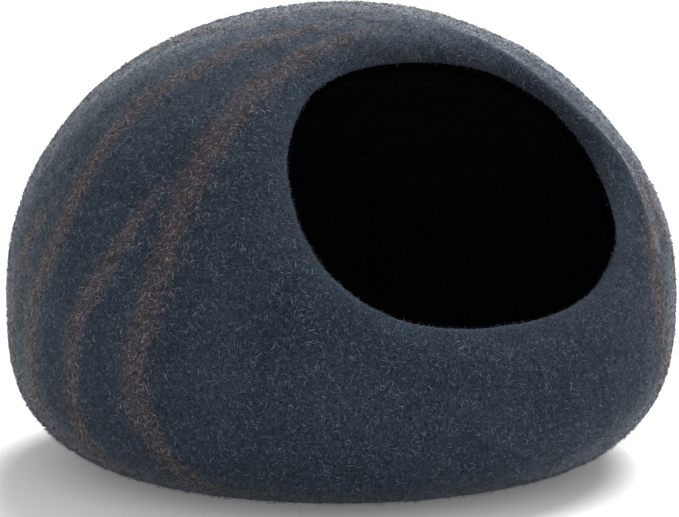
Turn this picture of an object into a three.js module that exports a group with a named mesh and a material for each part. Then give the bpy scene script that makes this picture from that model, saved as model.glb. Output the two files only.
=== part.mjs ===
// Felt cat cave: one thick wool-felt shell, felted over a form in a single piece, with an oval
// doorway cut high in its front and a base pressed flat where it stands.
// Millimetres, +Z up. The doorway faces -Y, and the origin is the middle of the base.
import * as THREE from "three";
import { ParametricGeometry } from "three/addons/geometries/ParametricGeometry.js";

// The rounded body, measured from its heart: the point on its axis at its widest level.
const HALF_WIDTH = 230;
const FRONT_REACH = 230;
const BACK_REACH = 232;
const HEIGHT = 311;
const WIDEST_LEVEL = 118;
const BELLY_DEPTH = 130; // how far the belly would reach under the heart if nothing pressed it flat
const CROWN_ROUNDNESS = 2.04; // 2 is an ellipse, and more is squarer
const BELLY_ROUNDNESS = 3.36;
const BASE_SOFTNESS = 5; // height over which the belly eases into the flat base

// The flatter panel that the doorway is cut in.
const PANEL_REACH = 181;
const PANEL_LEAN = THREE.MathUtils.degToRad(35);
const PANEL_SHARPNESS = 7;

// The doorway: an egg-like outline seen along its own axis, which leans up from the front.
const DOOR_LEAN = THREE.MathUtils.degToRad(30);
const DOOR_HALF_WIDTH = 117;
const DOOR_LIFT = 3;
const DOOR_RISE = 90;
const DOOR_DROP = 103;
const DOOR_SQUARENESS = 2.34;
const DOOR_NARROWING = 0.08; // how much narrower the outline gets towards its top

// The felt, and how its cut edge turns in.
const WALL = 9;
const ROLL_WIDTH = 26;
const ROLL_DEPTH = 5;

// How finely the surface is divided.
const ROUND_STEPS = 72;
const OUTER_STEPS = 29;
const LIP_STEPS = 5;
const INNER_STEPS = 27;

const POLE_GAP = 0.02;
const SMALL_TURN = 1e-3;
const HALVINGS = 40;

const heart = new THREE.Vector3(0, 0, WIDEST_LEVEL);
const across = new THREE.Vector3(1, 0, 0);
const doorAxis = new THREE.Vector3(0, -Math.cos(DOOR_LEAN), Math.sin(DOOR_LEAN));
const doorUp = new THREE.Vector3(0, Math.sin(DOOR_LEAN), Math.cos(DOOR_LEAN));
const panelAxis = new THREE.Vector3(0, -Math.cos(PANEL_LEAN), Math.sin(PANEL_LEAN));

// Distance from the heart to the outer skin along a unit direction: a superellipse of revolution
// with its own roundness above and below the widest level, blended with the flatter panel.
function reach(direction) {
  const lengthwise = direction.y < 0 ? FRONT_REACH : BACK_REACH;
  const sideways = Math.hypot(direction.x / HALF_WIDTH, direction.y / lengthwise);
  const above = direction.z >= 0;
  const roundness = above ? CROWN_ROUNDNESS : BELLY_ROUNDNESS;
  const upright = Math.abs(direction.z) / (above ? HEIGHT - WIDEST_LEVEL : BELLY_DEPTH);
  const body = (sideways ** roundness + upright ** roundness) ** (-1 / roundness);
  const facing = direction.dot(panelAxis);
  if (facing < POLE_GAP) return body;
  const panel = PANEL_REACH / facing;
  return (body ** -PANEL_SHARPNESS + panel ** -PANEL_SHARPNESS) ** (-1 / PANEL_SHARPNESS);
}

// Heights below the base become zero, with a short parabola so that the skin meets it smoothly.
function pressFlat(z) {
  if (z >= BASE_SOFTNESS) return z;
  if (z <= -BASE_SOFTNESS) return 0;
  return (z + BASE_SOFTNESS) ** 2 / (4 * BASE_SOFTNESS);
}

// The doorway's outline at a turn, as its distance from the door axis and its bearing round it.
function doorOutline(turn) {
  const c = Math.cos(turn);
  const s = Math.sin(turn);
  const spread = (Math.abs(c) ** DOOR_SQUARENESS + Math.abs(s) ** DOOR_SQUARENESS) ** (1 / DOOR_SQUARENESS);
  const side = (DOOR_HALF_WIDTH * c * (1 - DOOR_NARROWING * s)) / spread;
  const lift = DOOR_LIFT + ((s >= 0 ? DOOR_RISE : DOOR_DROP) * s) / spread;
  return { distance: Math.hypot(side, lift), bearing: Math.atan2(lift, side) };
}

// The unit direction that makes an angle with the door axis, at a bearing round it.
function directionAt(angle, bearing) {
  return new THREE.Vector3()
    .addScaledVector(doorAxis, Math.cos(angle))
    .addScaledVector(across, Math.sin(angle) * Math.cos(bearing))
    .addScaledVector(doorUp, Math.sin(angle) * Math.sin(bearing));
}

// The angle from the door axis at which the skin is a given distance from that axis, by halving.
function angleAtDistance(distance, bearing) {
  let low = 0;
  let high = Math.PI / 2;
  for (let i = 0; i < HALVINGS; i++) {
    const middle = (low + high) / 2;
    const found = reach(directionAt(middle, bearing)) * Math.sin(middle);
    if (found < distance) low = middle;
    else high = middle;
  }
  return low;
}

// A point of the outer skin: share 0 is the pole behind, and share 1 is where the lip begins.
function outerPoint(share, turn) {
  const { distance, bearing } = doorOutline(turn);
  const edge = angleAtDistance(distance + WALL / 2, bearing);
  const angle = Math.PI - (Math.PI - edge) * share;
  const direction = directionAt(angle, bearing);
  const length = reach(direction);
  const fromEdge = length * (angle - edge);
  const turnedIn = fromEdge < ROLL_WIDTH ? ROLL_DEPTH * (1 - fromEdge / ROLL_WIDTH) ** 2 : 0;
  const point = direction.multiplyScalar(length - turnedIn).add(heart);
  point.z = pressFlat(point.z);
  return point;
}

// The skin's own frame there: the normal, pointing out, and the way along it towards the doorway.
function skinFrame(share, turn) {
  if (share < POLE_GAP) {
    const normal = new THREE.Vector3();
    for (const side of [0, 0.5, 1, 1.5]) {
      normal.add(skinFrame(POLE_GAP, side * Math.PI).normal);
    }
    return { normal: normal.normalize() };
  }
  const along = outerPoint(share, turn).sub(outerPoint(share - SMALL_TURN, turn)).normalize();
  const round = outerPoint(share, turn + SMALL_TURN).sub(outerPoint(share, turn - SMALL_TURN));
  const normal = round.cross(along).normalize();
  return { normal, along };
}

// The section from the pole behind, over the outer skin, round the lip and back along the inside.
function shellPoint(step, turn) {
  if (step <= OUTER_STEPS) return outerPoint(step / OUTER_STEPS, turn);
  if (step < OUTER_STEPS + LIP_STEPS) {
    const { normal, along } = skinFrame(1, turn);
    const bend = (Math.PI * (step - OUTER_STEPS)) / LIP_STEPS;
    return outerPoint(1, turn)
      .addScaledVector(normal, (WALL / 2) * (Math.cos(bend) - 1))
      .addScaledVector(along, (WALL / 2) * Math.sin(bend));
  }
  const share = 1 - (step - OUTER_STEPS - LIP_STEPS) / INNER_STEPS;
  return outerPoint(share, turn).addScaledVector(skinFrame(share, turn).normal, -WALL);
}

function feltShellGeometry() {
  const steps = OUTER_STEPS + LIP_STEPS + INNER_STEPS;
  const place = (u, v, target) => {
    const turn = u === 1 ? 0 : 2 * Math.PI * u;
    target.copy(shellPoint(Math.round(v * steps), turn));
  };
  const geometry = new ParametricGeometry(place, ROUND_STEPS, steps);
  geometry.computeBoundingBox();
  const { min, max } = geometry.boundingBox;
  return geometry.translate(0, -(min.y + max.y) / 2, 0);
}

const slateFelt = new THREE.MeshStandardMaterial({ color: 0x3a4450, roughness: 0.95, metalness: 0 });

const catCave = new THREE.Group();
const feltShell = new THREE.Mesh(feltShellGeometry(), slateFelt);
feltShell.name = "felt_shell";
catCave.add(feltShell);

export default catCave;
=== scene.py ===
# %% [markdown]
# # A felt cat cave
# The real thing is made by hand from wet wool: a thick batt of fleece is wrapped round a ball,
# wetted, soaped and rubbed until the fibres lock, and then a doorway is cut and its edge is
# rubbed round. So there is one piece of felt, about 9 mm thick, with no seam anywhere.
# Streaks of brown fleece were laid on the slate wool, from high up downwards, before rubbing.
# This lesson builds that one shell as a surface worked out with numpy, and then the loose
# fibres that make felt look like felt.

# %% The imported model, and the libraries
import math

import bpy
import numpy as np
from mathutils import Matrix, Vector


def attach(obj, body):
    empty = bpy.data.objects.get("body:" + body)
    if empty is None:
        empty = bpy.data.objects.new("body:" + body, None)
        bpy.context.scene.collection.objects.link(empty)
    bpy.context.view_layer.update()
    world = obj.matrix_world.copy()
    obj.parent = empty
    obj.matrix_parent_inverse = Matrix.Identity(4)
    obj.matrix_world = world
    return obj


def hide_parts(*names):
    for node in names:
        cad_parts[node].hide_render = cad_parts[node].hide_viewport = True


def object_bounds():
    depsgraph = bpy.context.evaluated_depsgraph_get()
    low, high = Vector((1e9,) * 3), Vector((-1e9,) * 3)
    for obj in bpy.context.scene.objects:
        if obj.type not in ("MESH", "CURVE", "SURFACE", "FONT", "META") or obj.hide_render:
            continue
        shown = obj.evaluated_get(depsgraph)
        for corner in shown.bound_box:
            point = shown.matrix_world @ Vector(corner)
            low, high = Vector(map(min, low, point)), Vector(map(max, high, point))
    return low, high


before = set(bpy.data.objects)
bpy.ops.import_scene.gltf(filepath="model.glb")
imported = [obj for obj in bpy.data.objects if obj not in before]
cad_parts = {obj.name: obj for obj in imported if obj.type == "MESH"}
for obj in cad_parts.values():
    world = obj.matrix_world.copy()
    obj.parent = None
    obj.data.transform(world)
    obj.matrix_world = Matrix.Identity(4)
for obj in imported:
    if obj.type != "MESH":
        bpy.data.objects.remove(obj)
cad_low, cad_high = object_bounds()
print("cave", [round(high - low, 4) for low, high in zip(cad_low, cad_high)], "m")

# %% [markdown]
# ## The sizes
# Everything is in metres. The felt was shaped over a form, so the form is described first: how
# far it reaches each way from its heart, which is the point on the upright axis at the widest
# level. A superellipse is an ellipse whose power isn't 2: a higher power is squarer, and that
# one number turns a ball into a pebble that sits down on the floor.

# %% Sizes of the form, the doorway and the felt
MM = 0.001

HALF_WIDTH = 230 * MM
FRONT_REACH = 230 * MM
BACK_REACH = 232 * MM
HEIGHT = 311 * MM
WIDEST_LEVEL = 118 * MM
BELLY_DEPTH = 130 * MM
CROWN_ROUNDNESS = 2.04
BELLY_ROUNDNESS = 3.36
BASE_SOFTNESS = 5 * MM

PANEL_REACH = 181 * MM
PANEL_LEAN = math.radians(35)
PANEL_SHARPNESS = 7

DOOR_LEAN = math.radians(30)
DOOR_HALF_WIDTH = 117 * MM
DOOR_LIFT = 3 * MM
DOOR_RISE = 90 * MM
DOOR_DROP = 103 * MM
DOOR_SQUARENESS = 2.34
DOOR_NARROWING = 0.08

WALL = 9 * MM
ROLL_WIDTH = 26 * MM
ROLL_DEPTH = 5 * MM

HEART = np.array([0.0, cad_high.y - BACK_REACH, WIDEST_LEVEL])
ACROSS = np.array([1.0, 0.0, 0.0])
DOOR_AXIS = np.array([0.0, -math.cos(DOOR_LEAN), math.sin(DOOR_LEAN)])
DOOR_UP = np.array([0.0, math.sin(DOOR_LEAN), math.cos(DOOR_LEAN)])
PANEL_AXIS = np.array([0.0, -math.cos(PANEL_LEAN), math.sin(PANEL_LEAN)])
print("heart of the cave", HEART.round(4))

# %% [markdown]
# ## The form as a function
# A direction from the heart goes in, and the distance to the outer skin comes out. The front is
# flatter where the doorway is cut, because the maker pats it down there, so a leaning plane is
# blended in: the smooth minimum of two distances is the power mean with a negative power.

# %% How far the skin is in a direction
LEAST_FACING = 0.02  # cosine to the panel, kept above zero where a direction points away from it


def reach(directions):
    """Distance from the heart along unit directions: (sideways^p + upright^p)^(-1/p) with its own
    power p above and below the widest level, then the smooth minimum with the leaning panel."""
    x, y, z = np.moveaxis(directions, -1, 0)
    sideways = np.hypot(x / HALF_WIDTH, y / np.where(y < 0, FRONT_REACH, BACK_REACH))
    above = z >= 0
    power = np.where(above, CROWN_ROUNDNESS, BELLY_ROUNDNESS)
    upright = np.abs(z) / np.where(above, HEIGHT - WIDEST_LEVEL, BELLY_DEPTH)
    body = (sideways**power + upright**power) ** (-1 / power)
    facing = np.maximum(directions @ PANEL_AXIS, LEAST_FACING)
    panel = PANEL_REACH / facing
    return (body**-PANEL_SHARPNESS + panel**-PANEL_SHARPNESS) ** (-1 / PANEL_SHARPNESS)


def press_flat(heights):
    """Heights under the floor become zero, with a short parabola over which the belly eases in."""
    eased = (heights + BASE_SOFTNESS) ** 2 / (4 * BASE_SOFTNESS)
    return np.where(heights >= BASE_SOFTNESS, heights, np.where(heights <= -BASE_SOFTNESS, 0, eased))


def toward(angles, bearings):
    """Unit directions at an angle from the door axis and a bearing round it."""
    ring = np.cos(bearings)[..., None] * ACROSS + np.sin(bearings)[..., None] * DOOR_UP
    return np.cos(angles)[..., None] * DOOR_AXIS + np.sin(angles)[..., None] * ring


crown = HEART[2] + reach(np.array([0.0, 0.0, 1.0]))
print("crown at", round(float(crown), 4), "m, frame says", round(cad_high.z, 4))

# %% [markdown]
# ## The doorway's outline
# Seen along its own leaning axis the hole is a squarish egg. Each turn round it gives a distance
# from that axis and a bearing. The skin's angle there is found by halving an interval, all turns
# at once, which is the array form of the usual bisection.

# %% Where the skin ends at the doorway
HALVINGS = 40


def door_outline(turns):
    """The egg: sides cos t and sin t over their own power mean, drawn in towards the top."""
    c, s = np.cos(turns), np.sin(turns)
    spread = (np.abs(c) ** DOOR_SQUARENESS + np.abs(s) ** DOOR_SQUARENESS) ** (1 / DOOR_SQUARENESS)
    side = DOOR_HALF_WIDTH * c * (1 - DOOR_NARROWING * s) / spread
    lift = DOOR_LIFT + np.where(s >= 0, DOOR_RISE, DOOR_DROP) * s / spread
    return np.hypot(side, lift), np.arctan2(lift, side)


def edge_angles(distances, bearings):
    """The angle at which the skin is that far from the door axis, by halving 0 to 90 degrees."""
    low = np.zeros_like(distances)
    high = np.full_like(distances, math.pi / 2)
    for _ in range(HALVINGS):
        middle = (low + high) / 2
        short = reach(toward(middle, bearings)) * np.sin(middle) < distances
        low, high = np.where(short, middle, low), np.where(short, high, middle)
    return low


# %% [markdown]
# ## Routes on the skin
# A wisp of wool and a crease both run along the skin. Each is written as a few stops, as a
# maker would point them out: a bearing round the upright axis, where 0 is the front and
# positive is to the right, and a tilt down from straight up. A smooth route runs through them.

# %% Routes, and how far points are from one
ROUTE_STEPS = 160


def route_on_skin(stops):
    """A smooth run through the stops: each becomes a unit direction, a Catmull-Rom cubic runs
    through the directions, and the skin's reach puts every step of it on the surface."""
    bearing, tilt = np.radians(np.array(stops, float)).T
    ways = np.stack([
        np.sin(tilt) * np.sin(bearing),
        -np.sin(tilt) * np.cos(bearing),
        np.cos(tilt),
    ], -1)
    ways = np.concatenate([2 * ways[:1] - ways[1:2], ways, 2 * ways[-1:] - ways[-2:-1]])
    place = np.linspace(0, len(stops) - 1.001, ROUTE_STEPS)  # ends a hair before the last stop
    start = place.astype(int)
    t = (place - start)[:, None]
    before, here, after, later = (ways[start + k] for k in range(4))
    cubic = 3 * (here - after) + later - before
    square = 2 * before - 5 * here + 4 * after - later + t * cubic
    run = here + 0.5 * t * (after - before + t * square)
    run /= np.linalg.norm(run, axis=-1, keepdims=True)
    points = HEART + run * reach(run)[:, None]
    points[:, 2] = press_flat(points[:, 2])
    return points


def from_route(points, route):
    """For each point its distance from the nearest step of the route, and that step's number.
    All distances come from |p|^2 + |q|^2 - 2 p.q, one matrix at once."""
    square = (points**2).sum(1)[:, None] + (route**2).sum(1) - 2 * points @ route.T
    nearest = square.argmin(1)
    return np.sqrt(np.maximum(square[np.arange(len(points)), nearest], 0)), nearest


def ease(values, low, high):
    """Smoothstep: 3 t^2 - 2 t^3, where t goes from 0 at low to 1 at high."""
    t = np.clip((values - low) / (high - low), 0, 1)
    return t * t * (3 - 2 * t)


# %% [markdown]
# ## The hand in the felt
# Nothing rubbed by hand is a perfect surface. A few broad waves of under a millimetre stand for
# the places where the batt was thicker, and shorter, shallower ones for the dimples of rubbing
# palms. They are sums of cosines in random directions, with a fixed seed, and they fade out near
# the floor so that the base stays flat. The soft upper part has also settled a little to one
# side, so it leans 2.5 mm that way. To the right of the doorway the patted-down front turns into
# the side over a soft crease, which is a bell curve of the distance from a route. The loose
# fibres stand on top of all this, so the skin itself is let in by half a millimetre.

# %% Unevenness of the felt
LEAN = np.array([2.2, -1.2, 0.0]) * MM
LEAN_STARTS, LEAN_ENDS = 20 * MM, 180 * MM
FIBRE_ROOM = 0.5 * MM

BROAD_LENGTHS = np.linspace(70, 230, 14) * MM
BROAD_HEIGHT = 0.75 * MM
DIMPLE_LENGTHS = np.linspace(14, 40, 22) * MM
DIMPLE_HEIGHT = 0.28 * MM
FLAT_UP_TO, UNEVEN_FROM = 6 * MM, 35 * MM
UNEVEN_SEED = 5

CREASE_HEIGHT = 3.8 * MM
CREASE_WIDTH = 7 * MM
CREASE_POWER = 1.5  # 2 is the usual bell curve, and less has a sharper top
CREASE_END_POWER = 0.7
CREASE = [
    (33, 20), (43, 29), (45, 39), (46, 47), (47, 55),
    (48, 62), (47, 68), (45, 74), (42, 80), (38, 86),
]


def waves(points, lengths, height, seed):
    """The sum of cosines of the points along random directions, one for each wave length."""
    random = np.random.default_rng(seed)
    total = np.zeros(points.shape[:-1])
    for length in lengths:
        direction = random.normal(size=3)
        direction /= np.linalg.norm(direction)
        total += np.cos(points @ direction * (2 * math.pi / length) + random.uniform(0, 2 * math.pi))
    return total * height / math.sqrt(len(lengths))


def unevenness(points, seed):
    """Broad waves, dimples and the crease, less the fibres' room, fading out near the floor."""
    broad = waves(points, BROAD_LENGTHS, BROAD_HEIGHT, seed)
    dimples = waves(points, DIMPLE_LENGTHS, DIMPLE_HEIGHT, seed + 1)
    distance, step = from_route(points.reshape(-1, 3), route_on_skin(CREASE))
    ends = np.sin(math.pi * (step + 0.5) / ROUTE_STEPS) ** CREASE_END_POWER
    crease = CREASE_HEIGHT * ends * np.exp(-((distance / CREASE_WIDTH) ** CREASE_POWER))
    total = broad + dimples + crease.reshape(broad.shape) - FIBRE_ROOM
    return total * ease(points[..., 2], FLAT_UP_TO, UNEVEN_FROM)


# %% [markdown]
# ## The shell as one closed grid
# The grid's rows start at a pole low on the back, run forward over the outer skin to the doorway,
# turn round the lip in a half circle, and run back along the inside to the same pole. So inside
# and outside are one skin, as they are in one piece of felt, and the mesh has no edge to close.

# %% Rows of the outer skin
COLUMNS = 320
OUTER_ROWS = 126
LIP_ROWS = 9
INNER_ROWS = 54


def outer_skin(shares, turns):
    """Points at a share of the way from the back pole to the doorway's edge, at each turn, with
    the last stretch before the edge turned in by a parabola."""
    distances, bearings = door_outline(turns)
    edges = edge_angles(distances + WALL / 2, bearings)
    angles = math.pi - (math.pi - edges) * shares[:, None]
    directions = toward(angles, np.broadcast_to(bearings, angles.shape))
    lengths = reach(directions)
    from_edge = np.clip(lengths * (angles - edges) / ROLL_WIDTH, 0, 1)
    lengths = lengths - ROLL_DEPTH * (1 - from_edge) ** 2
    points = HEART + directions * lengths[..., None]
    points[..., 2] = press_flat(points[..., 2])
    return points


def skin_normals(points):
    """Cross product of the steps along a row and along a column. Row 0 is the pole, where every
    column meets, so it takes the mean of the next row's normals."""
    along = np.gradient(points, axis=0)
    round_ = np.roll(points, -1, axis=1) - np.roll(points, 1, axis=1)
    normals = np.cross(round_, along)
    normals[0] = normals[1].mean(0)
    return normals / np.linalg.norm(normals, axis=-1, keepdims=True)


turns = np.linspace(0, 2 * math.pi, COLUMNS, endpoint=False)
outer = outer_skin(np.linspace(0, 1, OUTER_ROWS + 1), turns)
outer += skin_normals(outer) * unevenness(outer, UNEVEN_SEED)[..., None]
outer += LEAN * ease(outer[..., 2], LEAN_STARTS, LEAN_ENDS)[..., None]
outer_normals = skin_normals(outer)
print("outer skin", outer.shape[:2], "points")

# %% Rows of the lip and the inside
lip_bend = np.linspace(0, math.pi, LIP_ROWS + 2)[1:-1, None, None]
edge_along = outer[-1] - outer[-2]
edge_along /= np.linalg.norm(edge_along, axis=-1, keepdims=True)
lip = (
    outer[-1]
    + outer_normals[-1] * (WALL / 2) * (np.cos(lip_bend) - 1)
    + edge_along * (WALL / 2) * np.sin(lip_bend)
)

inner_picks = np.linspace(OUTER_ROWS, 0, INNER_ROWS + 1).round().astype(int)
inner = outer[inner_picks] - outer_normals[inner_picks] * WALL
print("lip", lip.shape[:2], "and inside", inner.shape[:2], "points")


# %% [markdown]
# ## Arrays into a mesh
# A ring of rows is closed sideways by letting the last column meet the first, and each pole is a
# single point with a fan of triangles. Whole arrays go into the mesh with foreach_set.

# %% Mesh helpers
def new_piece(name, points, quads=None, triangles=None, smooth=True):
    """A mesh object from an array of points and arrays of corner numbers for its faces."""
    quads = np.zeros((0, 4), int) if quads is None else quads
    triangles = np.zeros((0, 3), int) if triangles is None else triangles
    corners = np.concatenate([quads.ravel(), triangles.ravel()]).astype(np.int32)
    starts = np.concatenate([np.arange(len(quads)) * 4, quads.size + np.arange(len(triangles)) * 3])
    mesh = bpy.data.meshes.new(name)
    mesh.vertices.add(len(points))
    mesh.loops.add(len(corners))
    mesh.polygons.add(len(starts))
    mesh.vertices.foreach_set("co", np.ascontiguousarray(points, np.float32).ravel())
    mesh.loops.foreach_set("vertex_index", corners)
    mesh.polygons.foreach_set("loop_start", starts.astype(np.int32))
    mesh.polygons.foreach_set("use_smooth", np.full(len(starts), smooth))
    mesh.update(calc_edges=True)
    mesh.validate()
    piece = bpy.data.objects.new(name, mesh)
    bpy.context.scene.collection.objects.link(piece)
    return piece


def set_attribute(piece, name, values):
    """A number for each point of the piece, which its material can read by name."""
    attribute = piece.data.attributes.new(name, "FLOAT", "POINT")
    attribute.data.foreach_set("value", np.ascontiguousarray(values, np.float32).ravel())


def ring_faces(rows, columns, first=0):
    """Quads between neighbouring rows, closed sideways."""
    row, column = np.meshgrid(np.arange(rows - 1), np.arange(columns), indexing="ij")
    after = (column + 1) % columns
    here, ahead = first + row * columns, first + (row + 1) * columns
    return np.stack([here + column, here + after, ahead + after, ahead + column], -1).reshape(-1, 4)


def fan(pole, ring, turned):
    """Triangles from a pole to a ring of points, turned round if the pole is at the other end."""
    after = np.roll(ring, -1)
    pair = (after, ring) if turned else (ring, after)
    return np.stack([np.full(len(ring), pole), *pair], -1)


# %% [markdown]
# ## The brown streaks
# The maker drew wisps of brown fleece down over the sides, most of them from near the crown and
# a few from the right shoulder. Some part in two on the way, and their ends are tucked under the
# base. A wisp is a half width in millimetres and a route.

# %% Routes of the streaks
STREAKS = {
    "left_front": (11, [
        (80, 22), (29, 16), (-19, 21), (-43, 32), (-52, 44), (-56, 58),
        (-58, 70), (-60, 83), (-64, 97), (-61, 109), (-56, 118), (-46, 126),
    ]),
    "left_front_fork": (9, [
        (-57, 60), (-62, 66), (-69, 79), (-77, 92), (-79, 105), (-79, 114), (-76, 124),
    ]),
    "left_side": (11, [
        (75, 18), (40, 12), (-42, 20), (-62, 30), (-73, 41), (-80, 52),
        (-82, 64), (-84, 76), (-90, 88), (-92, 100), (-92, 112), (-90, 122),
    ]),
    "left_side_fork": (8.5, [
        (-82, 62), (-88, 70), (-95, 78), (-100, 88), (-103, 100), (-104, 112),
    ]),
    "left_back": (10, [
        (60, 12), (-30, 9), (-85, 24), (-108, 36), (-120, 52),
        (-127, 70), (-128, 88), (-126, 104), (-125, 118),
    ]),
    "back_left": (8, [
        (90, 16), (150, 10), (-158, 24), (-148, 40), (-146, 58),
        (-150, 76), (-160, 92), (-164, 108), (-162, 120),
    ]),
    "back_left_fork": (7, [(-146, 54), (-142, 66), (-139, 82), (-141, 98), (-148, 112)]),
    "back": (9, [
        (100, 20), (150, 20), (172, 34), (178, 50), (-176, 66), (-179, 84), (172, 100), (168, 116),
    ]),
    "back_right": (9, [
        (100, 24), (122, 32), (138, 44), (150, 60), (149, 78), (141, 96), (142, 116),
    ]),
    "right_back": (8, [
        (92, 26), (100, 38), (104, 54), (113, 70), (119, 88), (116, 106), (118, 122),
    ]),
    "right_side": (15, [
        (78, 62), (77, 70), (76, 80), (76, 90), (78, 101), (82, 114), (84, 124),
    ]),
    "right_front": (12, [
        (60, 60), (56, 67), (49, 74), (43, 81), (40, 88), (40, 95), (43, 102), (47, 110), (50, 121),
    ]),
    "right_front_fork": (9, [(58, 64), (54, 71), (52, 78), (52, 86), (54, 96), (56, 108)]),
}

# Shares of the way along a streak.
FULL_STRENGTH_AT = 0.25
LAST_STRETCH = 0.1
THIN_UP_TO, WIDE_FROM = 0.08, 0.45

START_STRENGTH = 0.2
START_WIDTH = 0.4


def streak_strength(points):
    """For each point the strength of the strongest streak, and the way that streak runs there.
    The strength is a bell curve of the distance from the route over the streak's half width. A
    streak starts thin and faint, and fades out at its end."""
    flat = points.reshape(-1, 3)
    best = np.zeros(len(flat))
    heading = np.zeros_like(flat)
    for half_width, stops in STREAKS.values():
        route = route_on_skin(stops)
        distance, step = from_route(flat, route)
        share = step / (len(route) - 1)
        fade = np.clip(share / FULL_STRENGTH_AT, START_STRENGTH, 1)
        fade = fade * np.clip((1 - share) / LAST_STRETCH, 0, 1)
        widening = START_WIDTH + (1 - START_WIDTH) * ease(share, THIN_UP_TO, WIDE_FROM)
        strength = np.exp(-((distance / (half_width * MM * widening)) ** 2)) * fade
        steps = np.gradient(route, axis=0)[step]
        stronger = strength > best
        best = np.where(stronger, strength, best)
        heading[stronger] = steps[stronger]
    heading /= np.linalg.norm(heading, axis=1, keepdims=True) + 1e-12
    return best.reshape(points.shape[:-1]), heading.reshape(points.shape)


streak, streak_heading = streak_strength(outer)
covered = round(float((streak > 0.5).mean()) * 100)
print("streaks", len(STREAKS), "routes, covering", covered, "% of the skin")

# %% [markdown]
# ## The shell's mesh
# Rows 1 and up of the outer skin, the lip and the inside become one grid, and the two poles close
# it. Three numbers go with each point for the materials: how much brown wool there is, how near
# the doorway's rim it is, and how deep in the cave's shade it is. The shade starts at the tip of
# the lip below and to the left, where the lip looks up into the light, and at its outer edge
# above and to the right, where it looks down into the cave. There it also reaches a little way
# out over the rolled edge, and fades.

# %% How deep in the shade each row is
rows = np.concatenate([outer[1:], lip, inner[:-1]])
row_number = np.arange(len(rows))[:, None]
LAST_LIP_ROW = OUTER_ROWS + LIP_ROWS

LIP_SHADE_TURN = math.radians(52)  # the turn round the doorway at which the lip is shaded most
LIP_SHADE_LATEST = 0.36  # the share of the lip after which it is shaded on the lit side
LIP_SHADE_BEFORE, LIP_SHADE_AFTER = 0.22, 0.10
ROLL_SHADE_TURN = math.radians(50)
ROLL_SHADE = 0.74
SHADED_ROLL = 25 * MM

shaded_side = ease(np.cos(turns - LIP_SHADE_TURN), -0.17, 0.26)
shade_starts = LIP_SHADE_LATEST * (1 - shaded_side)
round_lip = np.linspace(0, 1, LIP_ROWS)[:, None]
from_rim = np.linalg.norm(outer[1:] - outer[-1], axis=-1)
roll_side = ROLL_SHADE * ease(np.cos(turns - ROLL_SHADE_TURN), 0.25, 0.8)
shade = np.concatenate([
    roll_side * (1 - ease(from_rim, 0, SHADED_ROLL)),
    ease(round_lip, shade_starts - LIP_SHADE_BEFORE, shade_starts + LIP_SHADE_AFTER),
    np.ones((len(inner) - 1, COLUMNS)),
])
print("shaded part of the lip", round(float((shade[OUTER_ROWS:LAST_LIP_ROW] > 0.5).mean()), 2))

# %% Build the shell
shell_points = np.concatenate([rows.reshape(-1, 3), outer[:1, 0], inner[-1:, 0]])
outer_pole, inner_pole = len(shell_points) - 2, len(shell_points) - 1
last_row = (len(rows) - 1) * COLUMNS
shell = new_piece(
    "felt_shell_wool",
    shell_points,
    ring_faces(len(rows), COLUMNS),
    np.concatenate([
        fan(outer_pole, np.arange(COLUMNS), False)[:, ::-1],
        fan(inner_pole, last_row + np.arange(COLUMNS), True)[:, ::-1],
    ]),
)

# Faces past the outer skin that are more shaded than not get the cave's own material.
shaded_quads = (shade[:-1] > 0.5) & (row_number[1:] > OUTER_ROWS)
in_shade = np.append(shaded_quads.ravel(), np.repeat([False, True], COLUMNS))
shell.data.polygons.foreach_set("material_index", in_shade.astype(np.int32))

bare = len(lip) + len(inner) - 1
brown = np.concatenate([streak[1:], np.zeros((bare, COLUMNS))])
# rim is 1 from a few rows before the doorway's edge, over the lip, to a few rows inside: the outside
# material leaves its painted sheen off there, and the inside material paints the lip with its darkest
# painted shade.
rim = ease(row_number, OUTER_ROWS - 4, OUTER_ROWS - 1)
rim = rim * (1 - ease(row_number, LAST_LIP_ROW + 1, LAST_LIP_ROW + 7))
set_attribute(shell, "brown_wool", np.append(brown.ravel(), [0, 0]))
set_attribute(shell, "rim", np.append(np.repeat(rim, COLUMNS), [0, 0]))
set_attribute(shell, "cave_shade", np.append(shade.ravel(), [0, 1]))

# %% Measure the felt
shell.data.calc_loop_triangles()
corners = np.zeros(len(shell.data.loop_triangles) * 3, np.int32)
shell.data.loop_triangles.foreach_get("vertices", corners)
a, b, c = shell_points[corners.reshape(-1, 3)].transpose(1, 0, 2)
felt_volume = float(np.einsum("ij,ij->i", a, np.cross(b, c)).sum() / 6)
felt_area = float(np.linalg.norm(np.cross(b - a, c - a), axis=1).sum() / 2)
print("shell", len(shell.data.loop_triangles), "triangles", round(felt_volume * 1e3, 3), "litres of felt")
print("area of one side", round(felt_area / 2, 4), "m2")

# %% [markdown]
# ## Loose fibres
# Felt is only partly locked: short ends and small loops of wool stand off its surface, and they
# are what makes its outline soft. Each fibre is a flat ribbon that tapers to a point at both
# ends, in four stations and four triangles. It starts at a random place on the skin, turns a
# little as it goes, and either lifts its free end or lies in a loop with both ends in the felt.

# %% Random places on the skin
grid_normals = skin_normals(rows)


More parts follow.
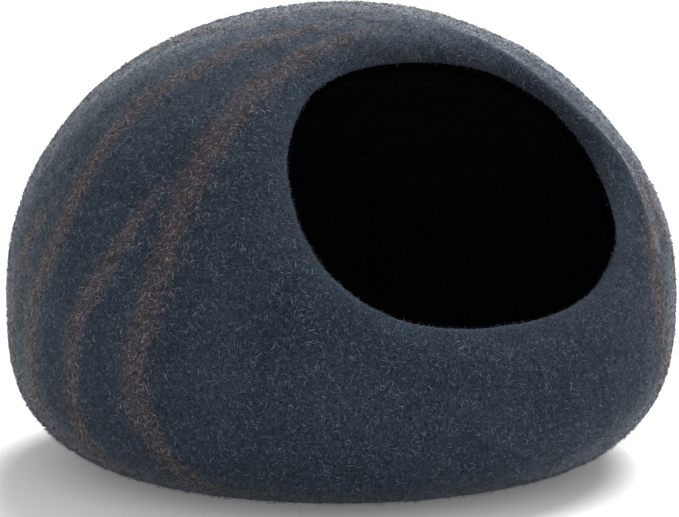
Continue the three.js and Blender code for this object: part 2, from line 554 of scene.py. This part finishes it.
def scatter(count, weight, seed):
    """Places drawn with a chance of area times weight: grid rows and columns, then the point, the
    normal and the two directions of the grid there, by bilinear mixing of the four corners."""
    random = np.random.default_rng(seed)
    across_row = np.roll(rows, -1, axis=1)[:-1] - rows[:-1]
    along_column = rows[1:] - rows[:-1]
    area = np.linalg.norm(np.cross(across_row, along_column), axis=-1)
    chance = (area * weight[:-1]).ravel()
    picks = random.choice(chance.size, count, p=chance / chance.sum())
    row, column = np.divmod(picks, COLUMNS)
    after = (column + 1) % COLUMNS
    s, t = random.random((2, count, 1))

    def mix(grid):
        near = grid[row, column] * (1 - s) + grid[row, after] * s
        far = grid[row + 1, column] * (1 - s) + grid[row + 1, after] * s
        return near * (1 - t) + far * t

    point, normal = mix(rows), mix(grid_normals)
    normal /= np.linalg.norm(normal, axis=1, keepdims=True)
    sideways = across_row[row, column]
    sideways -= (sideways * normal).sum(1, keepdims=True) * normal
    sideways /= np.linalg.norm(sideways, axis=1, keepdims=True)
    return row, column, point, normal, sideways, np.cross(normal, sideways)


# %% Ribbons from places
STATIONS = np.linspace(0, 1, 4)
RIBBON = np.array([[0, 1, 2], [1, 3, 4], [1, 4, 2], [3, 5, 4]])

CURL = 1.3  # radians that a fibre turns along its length, as a standard deviation
WAVE = 0.8
LOOP_SHARE = 0.55
LOOP_HEIGHT = 0.6
FREE_END_POWER = 1.4
SUNK = 0.1 * MM
GREATEST_ROLL = 1.1
SPINE_OFF_FLOOR = 0.3 * MM
EDGE_OFF_FLOOR = 0.1 * MM
UV_MARGIN = 0.02
UV_HALF_WIDTH = 0.01


def fibres(name, places, heading, length, width, lift, tones, seed):
    """One mesh of ribbons. The run of each is the sum of steps in a heading that turns steadily
    and waves once. From just under the skin, its height is lift * s^1.4 for a free end and
    0.6 * lift * sin(pi s) for a loop. The UV map holds the fibre's tone and the way along it."""
    random = np.random.default_rng(seed)
    _, _, point, normal, sideways, forward = places
    count = len(point)
    curl = random.normal(0, CURL, count)
    wave = random.normal(0, WAVE, count)
    middle = (STATIONS[1:] + STATIONS[:-1]) / 2
    bend = heading[:, None] + curl[:, None] * middle + wave[:, None] * np.sin(2 * math.pi * middle)
    step = length[:, None] / len(middle)
    u = np.concatenate([np.zeros((count, 1)), np.cumsum(np.cos(bend) * step, 1)], 1)
    v = np.concatenate([np.zeros((count, 1)), np.cumsum(np.sin(bend) * step, 1)], 1)
    loop = random.random(count)[:, None] < LOOP_SHARE
    rise = np.where(loop, np.sin(math.pi * STATIONS) * LOOP_HEIGHT, STATIONS**FREE_END_POWER)
    height = rise * lift[:, None] - SUNK
    spine = (
        point[:, None]
        + u[..., None] * sideways[:, None]
        + v[..., None] * forward[:, None]
        + height[..., None] * normal[:, None]
    )
    spine[..., 2] = np.maximum(spine[..., 2], SPINE_OFF_FLOOR)
    roll = random.uniform(-GREATEST_ROLL, GREATEST_ROLL, count)[:, None, None]
    ahead = np.gradient(spine, axis=1)
    ahead /= np.linalg.norm(ahead, axis=-1, keepdims=True)
    flat_way = np.cross(normal[:, None], ahead)
    half = (np.cos(roll) * flat_way + np.sin(roll) * normal[:, None]) * (width / 2)[:, None, None]
    left, right = spine - half, spine + half
    points = np.stack(
        [spine[:, 0], left[:, 1], right[:, 1], left[:, 2], right[:, 2], spine[:, 3]], 1
    ).reshape(-1, 3)
    points[:, 2] = np.maximum(points[:, 2], EDGE_OFF_FLOOR)
    triangles = (np.arange(count)[:, None, None] * 6 + RIBBON).reshape(-1, 3)
    piece = new_piece(name, points, triangles=triangles)

    tone = np.clip(tones, UV_MARGIN, 1 - UV_MARGIN)[:, None]
    tone = tone + np.array([0, -1, 1, -1, 1, 0]) * UV_HALF_WIDTH
    run = UV_MARGIN + (1 - 2 * UV_MARGIN) * STATIONS[[0, 1, 1, 2, 2, 3]]
    uv = np.stack([tone, np.broadcast_to(run, tone.shape)], -1).reshape(-1, 2)[triangles.ravel()]
    layer = piece.data.uv_layers.new(name="OFBake")
    layer.uv.foreach_set("vector", np.ascontiguousarray(uv, np.float32).ravel())
    return piece


# %% Where fibres stand, and how long they are
SHORT_FIBRE_POWER = 1.8
BARE_UP_TO, WOOLLY_OVER = 1.5 * MM, 3 * MM
LIP_DENSITY = 3


def spread(random, count, low, high):
    """Random lengths between two ends, with more short ones than long ones."""
    return low + (high - low) * random.random(count) ** SHORT_FIBRE_POWER


# None under the base or in the shade inside, most on the lip, and more on the shaded roll.
off_floor = np.clip((rows[..., 2] - BARE_UP_TO) / WOOLLY_OVER, 0, 1)
wool_weight = off_floor * np.where(row_number < OUTER_ROWS, 1 + shade, 1 - shade)
wool_weight[OUTER_ROWS - 2 : LAST_LIP_ROW] *= LIP_DENSITY
heading_grid = np.concatenate([streak_heading[1:], np.zeros((bare, COLUMNS, 3))])
on_lip = (row_number[:, 0] >= OUTER_ROWS - 2) & (row_number[:, 0] <= LAST_LIP_ROW)
print("rows on the lip", int(on_lip.sum()), "of", len(rows))

# %% Slate fibres all over
FIBRE_PIECES = 4
FIBRES_EACH = 44000
HEADING_SPREAD = 0.5
THINNED_BY_BROWN = 0.6

slate_fibres = []
for number in range(FIBRE_PIECES):
    random = np.random.default_rng(40 + number)
    places = scatter(FIBRES_EACH, wool_weight * (1 - THINNED_BY_BROWN * brown), 50 + number)
    lipped = on_lip[places[0]]
    heading = np.where(
        lipped,
        random.normal(0, HEADING_SPREAD, FIBRES_EACH),
        random.uniform(0, 2 * math.pi, FIBRES_EACH),
    )
    slate_fibres.append(fibres(
        f"loose_slate_fibres_{number + 1}",
        places,
        heading,
        length=spread(random, FIBRES_EACH, 1.6 * MM, 6 * MM) * np.where(lipped, 0.5, 1),
        width=random.uniform(0.12, 0.32, FIBRES_EACH) * np.where(lipped, 0.6, 1) * MM,
        lift=spread(random, FIBRES_EACH, 0.3 * MM, 3.6 * MM),
        # Painted shade: fibres standing in the cave's shade, on the roll and the lip, get darker tones.
        tones=random.random(FIBRES_EACH) * (1 - 0.3 * shade[places[0], places[1]]),
        seed=60 + number,
    ))
    print(slate_fibres[-1].name, len(slate_fibres[-1].data.polygons), "triangles")

# %% Brown fibres along the streaks
BROWN_FIBRES = 39500
random = np.random.default_rng(70)
places = scatter(BROWN_FIBRES, wool_weight * brown**1.5, 71)
run_way = heading_grid[places[0], places[1]]
heading = np.arctan2((run_way * places[5]).sum(1), (run_way * places[4]).sum(1))
brown_fibres = fibres(
    "loose_brown_fibres",
    places,
    heading + random.normal(0, HEADING_SPREAD, BROWN_FIBRES),
    length=spread(random, BROWN_FIBRES, 2 * MM, 6.5 * MM),
    width=random.uniform(0.12, 0.3, BROWN_FIBRES) * MM,
    lift=spread(random, BROWN_FIBRES, 0.2 * MM, 2.4 * MM),
    tones=random.random(BROWN_FIBRES),
    seed=72,
)
print(brown_fibres.name, len(brown_fibres.data.polygons), "triangles")

# %% [markdown]
# ## Materials from shared groups
# Wool looks the same wherever it is: curled threads crossing each other, a little lighter on
# their crests, over tones that drift from place to place. Those effects are node groups with
# named sockets, so that each material sets its own colours and sizes.

# %% Node helpers
def connect(tree, value, socket):
    """Links an output to a socket, or sets the socket to a plain value."""
    if isinstance(value, bpy.types.NodeSocket):
        tree.links.new(value, socket)
    else:
        socket.default_value = value


def add(tree, kind, inputs=None, **settings):
    """A shader node with its settings, and its inputs either linked or set to a value."""
    node = tree.nodes.new("ShaderNode" + kind)
    for name, value in settings.items():
        setattr(node, name, value)
    for name, value in (inputs or {}).items():
        connect(tree, value, node.inputs[name])
    return node


def calc(tree, operation, *values, clamp=False):
    """The output of one Math node."""
    node = add(tree, "Math", dict(enumerate(values)), operation=operation, use_clamp=clamp)
    return node.outputs[0]


def blend(tree, share, a, b, blend_type="MIX"):
    """The colour output of one Mix node."""
    node = add(tree, "Mix", data_type="RGBA", blend_type=blend_type)
    for name, value in (("Factor_Float", share), ("A_Color", a), ("B_Color", b)):
        connect(tree, value, next(s for s in node.inputs if s.identifier == name))
    return next(s for s in node.outputs if s.identifier == "Result_Color")


def grey(tree, value):
    """One number as all three parts of a colour."""
    return add(tree, "CombineXYZ", {0: value, 1: value, 2: value}).outputs[0]


def attribute(tree, name):
    """A number that is kept at each point of the mesh."""
    return add(tree, "Attribute", attribute_name=name).outputs["Fac"]


def new_group(name, inputs, outputs):
    """A shader node group: its sockets are made from (label, kind, value), and the tree and the
    nodes at its two ends are returned."""
    tree = bpy.data.node_groups.new(name, "ShaderNodeTree")
    for label, kind, value in inputs:
        socket = tree.interface.new_socket(label, in_out="INPUT", socket_type="NodeSocket" + kind)
        if value is not None:
            socket.default_value = value
    for label, kind in outputs:
        tree.interface.new_socket(label, in_out="OUTPUT", socket_type="NodeSocket" + kind)
    return tree, tree.nodes.new("NodeGroupInput").outputs, tree.nodes.new("NodeGroupOutput").inputs


def place_group(tree, group, **inputs):
    """The first output of one use of a group in a material, with its own values. A socket's
    label is written with underscores for its spaces."""
    values = {label.replace("_", " "): value for label, value in inputs.items()}
    return add(tree, "Group", values, node_tree=group).outputs[0]




# %% Shared wool effects
threads_group, given, made = new_group(
    "wool_threads",
    [
        ("Vector", "Vector", None),
        ("Spacing", "Float", 0.002),
        ("Curl", "Float", 1.5),
        ("Fineness", "Float", 4.0),
    ],
    [("Threads", "Float")],
)
cloud = add(threads_group, "TexNoise", {
    "Vector": given["Vector"],
    "Scale": calc(threads_group, "DIVIDE", 1.0, given["Spacing"]),
    "Detail": 1.0,
    "Roughness": 0.6,
    "Distortion": given["Curl"],
})
signed = calc(threads_group, "MULTIPLY_ADD", cloud.outputs["Fac"], 2.0, -1.0)
crest = calc(threads_group, "SUBTRACT", 1.0, calc(threads_group, "ABSOLUTE", signed))
connect(threads_group, calc(threads_group, "POWER", crest, given["Fineness"]), made["Threads"])

drift_group, given, made = new_group(
    "tone_drift",
    [
        ("Color", "Color", (0.5, 0.5, 0.5, 1)),
        ("Vector", "Vector", None),
        ("Patch size", "Float", 0.04),
        ("Strength", "Float", 0.2),
    ],
    [("Color", "Color")],
)
noise = add(drift_group, "TexNoise", {
    "Vector": given["Vector"],
    "Scale": calc(drift_group, "DIVIDE", 1.0, given["Patch size"]),
    "Detail": 3.0,
    "Roughness": 0.55,
})
off_middle = calc(drift_group, "SUBTRACT", noise.outputs["Fac"], 0.5)
strength = calc(drift_group, "MULTIPLY", given["Strength"], 4.0)
gain = calc(drift_group, "MULTIPLY_ADD", off_middle, strength, 1.0)
drifted = blend(drift_group, 1.0, given["Color"], grey(drift_group, gain), "MULTIPLY")
connect(drift_group, drifted, made["Color"])

fibre_group, given, made = new_group(
    "fibre_tone",
    [
        ("Along", "Vector", None),
        ("Dark", "Color", (0.02, 0.02, 0.02, 1)),
        ("Light", "Color", (0.2, 0.2, 0.2, 1)),
        ("Root shade", "Float", 0.5),
    ],
    [("Color", "Color")],
)
parts = add(fibre_group, "SeparateXYZ", {0: given["Along"]})
mixed = blend(
    fibre_group, calc(fibre_group, "POWER", parts.outputs[0], 1.6), given["Dark"], given["Light"]
)
to_root = calc(fibre_group, "SUBTRACT", 1.0, parts.outputs[1])
shaded = calc(fibre_group, "MULTIPLY", given["Root shade"], to_root)
lit = calc(fibre_group, "SUBTRACT", 1.0, shaded)
connect(fibre_group, blend(fibre_group, 1.0, mixed, grey(fibre_group, lit), "MULTIPLY"), made["Color"])
print("groups", [group.name for group in (threads_group, drift_group, fibre_group)])


# %% Dry wool
def wool_material(name, sheen, specular=0.12):
    """A material whose own Principled shader has the constants of dry wool."""
    material = bpy.data.materials.new(name)
    material.use_nodes = True
    tree = material.node_tree
    shader = tree.nodes.get("Principled BSDF")
    for label, value in (
        ("Roughness", 0.95),
        ("Specular IOR Level", specular),
        ("Sheen Weight", sheen),
        ("Sheen Roughness", 0.3),
        ("Sheen Tint", (0.85, 0.9, 0.97, 1)),
    ):
        shader.inputs[label].default_value = value
    return material, tree, shader


# %% [markdown]
# ## Slate felt with brown streaks
# The streak's strength is a number on the mesh. Noise stretched over it frays its edges, and the
# brown only shows where enough of it is left, as wisps of fleece do. Where the skin is seen at a
# slant, the eye looks through the ends of many fibres that catch the light, which is the pale
# sheen along the edges of the cave. It is painted sheen, mixed into the colour, and Layer Weight
# gives that slant. Near the doorway's rim the painted sheen is left off. Inside, the felt goes on
# in the same slate, but hardly any light reaches it, so painted shade makes it much darker there.

# %% Colours of the shell
SLATE = (0.0010, 0.0022, 0.0048, 1)
SLATE_CREST = (0.041, 0.060, 0.089, 1)
BROWN = (0.0038, 0.0042, 0.0060, 1)
BROWN_CREST = (0.106, 0.088, 0.096, 1)
# Painted sheen: the pale colours painted on where the skin is seen at a slant.
SHEEN_SLATE = (0.31, 0.33, 0.36, 1)
SHEEN_BROWN = (0.32, 0.305, 0.31, 1)
# Painted shade: the near-black of the shaded lip and the darkened slate of the inside.
CAVE_DARK = (0.0006, 0.0007, 0.0010, 1)
CAVE = (0.0024, 0.0031, 0.0046, 1)
CAVE_CREST = (0.0180, 0.0232, 0.0325, 1)

# How narrow the painted sheen is along the edges, and how strongly the threads break it up.
SLANT_POWER = 5.5  # the higher, the narrower the pale edge
SHEEN_ENDS_POWER = 2.0
SHEEN_ENDS_GAIN = 3.2
FRAY = 1.1
THREAD_RELIEF = 0.8 * MM

# %% The shell's outside
felt, tree, shader = wool_material("slate_felt_wool", sheen=0.02)
place = add(tree, "TexCoord").outputs["Object"]
fine = place_group(tree, threads_group, Vector=place, Spacing=0.0022, Curl=1.6, Fineness=5.0)
coarse = place_group(tree, threads_group, Vector=place, Spacing=0.0036, Curl=2.4, Fineness=8.0)
threads = calc(tree, "MAXIMUM", fine, coarse)

wisps = add(tree, "TexNoise", {
    "Vector": place,
    "Scale": 160.0,
    "Detail": 4.0,
    "Roughness": 0.65,
    "Distortion": 0.8,
})
off_middle = calc(tree, "SUBTRACT", wisps.outputs["Fac"], 0.5)
frayed = calc(tree, "MULTIPLY_ADD", off_middle, FRAY, attribute(tree, "brown_wool"))
mask = add(
    tree,
    "MapRange",
    {"Value": frayed, "From Min": 0.10, "From Max": 1.0, "To Min": 0.0, "To Max": 0.9},
    interpolation_type="SMOOTHSTEP",
).outputs[0]

slate_part = blend(tree, threads, SLATE, SLATE_CREST)
brown_part = blend(tree, threads, BROWN, BROWN_CREST)
both = blend(tree, mask, slate_part, brown_part)
outside = place_group(tree, drift_group, Color=both, Vector=place, Patch_size=0.035, Strength=0.22)

# Painted sheen: pale colour mixed in where the skin is seen at a slant, broken up by the threads and left
# off near the rim.
slant = add(tree, "LayerWeight", {"Blend": 0.5}).outputs["Facing"]
ends = calc(tree, "MULTIPLY", calc(tree, "POWER", threads, SHEEN_ENDS_POWER), SHEEN_ENDS_GAIN)
ends = calc(tree, "MULTIPLY", ends, calc(tree, "SUBTRACT", 1.0, attribute(tree, "rim")))
sheen = calc(tree, "MULTIPLY", calc(tree, "POWER", slant, SLANT_POWER), ends, clamp=True)
lit = blend(tree, sheen, outside, blend(tree, mask, SHEEN_SLATE, SHEEN_BROWN))
connect(tree, blend(tree, attribute(tree, "cave_shade"), lit, CAVE_DARK), shader.inputs["Base Color"])
relief = add(tree, "Bump", {"Height": threads, "Strength": 0.9, "Distance": THREAD_RELIEF})
connect(tree, relief.outputs[0], shader.inputs["Normal"])
shell.data.materials.append(felt)
print(felt.name, len(tree.nodes), "nodes")

# %% The shell's inside
cave, tree, shader = wool_material("cave_shade_wool", sheen=0.0, specular=0.0)
place = add(tree, "TexCoord").outputs["Object"]
threads = place_group(tree, threads_group, Vector=place, Spacing=0.0036, Curl=2.4, Fineness=6.0)
# Painted shade: the lip and the first rows inside, where rim is 1, get CAVE_DARK, and the deeper inside
# gets the darkened slate of CAVE.
color = blend(tree, attribute(tree, "rim"), blend(tree, threads, CAVE, CAVE_CREST), CAVE_DARK)
color = place_group(tree, drift_group, Color=color, Vector=place, Patch_size=0.03, Strength=0.25)
connect(tree, color, shader.inputs["Base Color"])
relief = add(tree, "Bump", {"Height": threads, "Strength": 0.6, "Distance": THREAD_RELIEF})
connect(tree, relief.outputs[0], shader.inputs["Normal"])
shell.data.materials.append(cave)
print(cave.name, len(tree.nodes), "nodes")

# %% The loose fibres' materials
for name, pieces, dark, light in (
    ("slate_fibre_wool", slate_fibres, (0.006, 0.010, 0.018, 1), (0.240, 0.305, 0.400, 1)),
    ("brown_fibre_wool", [brown_fibres], (0.014, 0.014, 0.018, 1), (0.480, 0.410, 0.420, 1)),
):
    material, tree, shader = wool_material(name, sheen=0.08)
    along = add(tree, "UVMap", uv_map="OFBake").outputs[0]
    color = place_group(tree, fibre_group, Along=along, Dark=dark, Light=light, Root_shade=0.5)
    connect(tree, color, shader.inputs["Base Color"])
    for piece in pieces:
        piece.data.materials.append(material)
    print(name, "on", len(pieces), "pieces")

# %% [markdown]
# ## The pieces on the imported model
# Every piece rides on the one body. The shell stands for the CAD's shell, and it is one sheet of
# felt: laid flat, the wool of one side was a batt of about 0.80 by 0.64 m with rounded corners.

# %% Ride and replace
for piece in [shell, *slate_fibres, brown_fibres]:
    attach(piece, "root")
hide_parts("felt_shell")

# %% [markdown]
# ## The studio
# A white floor under a white sky, with one large soft light high up behind the cave and to its
# right. The crown then catches the most light, and the front under the doorway least.

# %% Floor and sky
FLOOR_SIZE = 80.0
FLOOR_DROP = 0.5 * MM
WHITE = (1, 1, 1, 1)

floor_points = np.array([[-1, -1, 0], [1, -1, 0], [1, 1, 0], [-1, 1, 0]]) * (FLOOR_SIZE / 2)
floor = new_piece("floor", floor_points - [0, 0, FLOOR_DROP], np.array([[0, 1, 2, 3]]), smooth=False)
paper = bpy.data.materials.new("white_floor")
paper.use_nodes = True
for label, value in (
    ("Base Color", (0.70, 0.70, 0.70, 1)),
    ("Emission Color", WHITE),
    ("Emission Strength", 0.14),
    ("Roughness", 1.0),
    ("Specular IOR Level", 0.0),
):
    paper.node_tree.nodes["Principled BSDF"].inputs[label].default_value = value
floor.data.materials.append(paper)

scene = bpy.context.scene
scene.world = bpy.data.worlds.new("white_sky")
scene.world.use_nodes = True
sky = scene.world.node_tree.nodes["Background"]
sky.inputs["Color"].default_value = WHITE
sky.inputs["Strength"].default_value = 0.78


# %% The light
def soft_sun(name, tilt_back, tilt_right, softness, strength):
    """Parallel light, tilted from straight above by these angles and softened by a wide one."""
    light = bpy.data.lights.new(name, "SUN")
    light.energy = strength
    light.angle = math.radians(softness)
    lamp = bpy.data.objects.new(name, light)
    scene.collection.objects.link(lamp)
    lamp.rotation_euler = (math.radians(-tilt_back), math.radians(tilt_right), 0)
    return lamp


sun = soft_sun("overhead", tilt_back=24, tilt_right=37, softness=44, strength=8.4)
print("light from", [round(part, 2) for part in sun.rotation_euler.to_matrix().col[2]])

# %% The camera
AZIMUTH, ELEVATION = math.radians(-30), math.radians(8)
DISTANCE = 1.6
EYE_HEIGHT, AIM_HEIGHT = 0.150, 0.134  # the eye's before it is raised by the elevation
LENS, SENSOR_WIDTH = 122.8, 36.0

back = np.array([
    math.sin(AZIMUTH) * math.cos(ELEVATION),
    -math.cos(AZIMUTH) * math.cos(ELEVATION),
    math.sin(ELEVATION),
])
eye = np.array([0, HEART[1], EYE_HEIGHT]) + back * DISTANCE
aim = np.array([0, HEART[1], AIM_HEIGHT])
view = (aim - eye) / np.linalg.norm(aim - eye)
turn = math.atan2(view[1], view[0]) - math.pi / 2
camera = bpy.data.objects.new("camera", bpy.data.cameras.new("camera"))
scene.collection.objects.link(camera)
camera.location = eye
camera.rotation_euler = (math.pi / 2 + math.asin(view[2]), 0, turn)
camera.data.lens = LENS
camera.data.sensor_width = SENSOR_WIDTH
camera.data.clip_start, camera.data.clip_end = 0.05, 100
scene.camera = camera
scene.view_settings.view_transform = "Standard"
print("camera at", eye.round(3))
